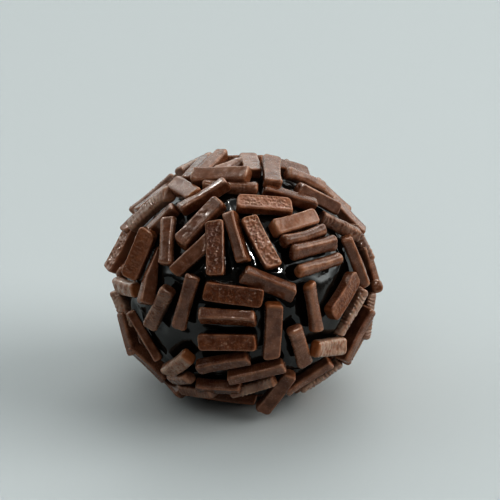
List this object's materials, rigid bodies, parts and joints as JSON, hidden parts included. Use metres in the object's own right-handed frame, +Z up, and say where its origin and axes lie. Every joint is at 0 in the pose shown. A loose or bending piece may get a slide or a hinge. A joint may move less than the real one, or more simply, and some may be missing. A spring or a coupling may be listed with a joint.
{
  "type": "brigadeiro",
  "caption": "Soft ball of dark chocolate fudge rolled in short flat milk chocolate sprinkles, picked up in the fingers and eaten in a bite or two.",
  "frame": {"origin": "middle of the ball's footprint box, on the floor it stands on", "axes": "+Z up out of the floor, -Y out of the showing side, +X to the right seen from the front"},
  "size_m": [0.0311, 0.0295, 0.0276],
  "materials": {
    "chocolate": "milk chocolate sprinkles over dark glossy fudge, softly shining"
  },
  "bodies": {
    "root": {"brigadeiro": "chocolate"}
  },
  "joints": []
}
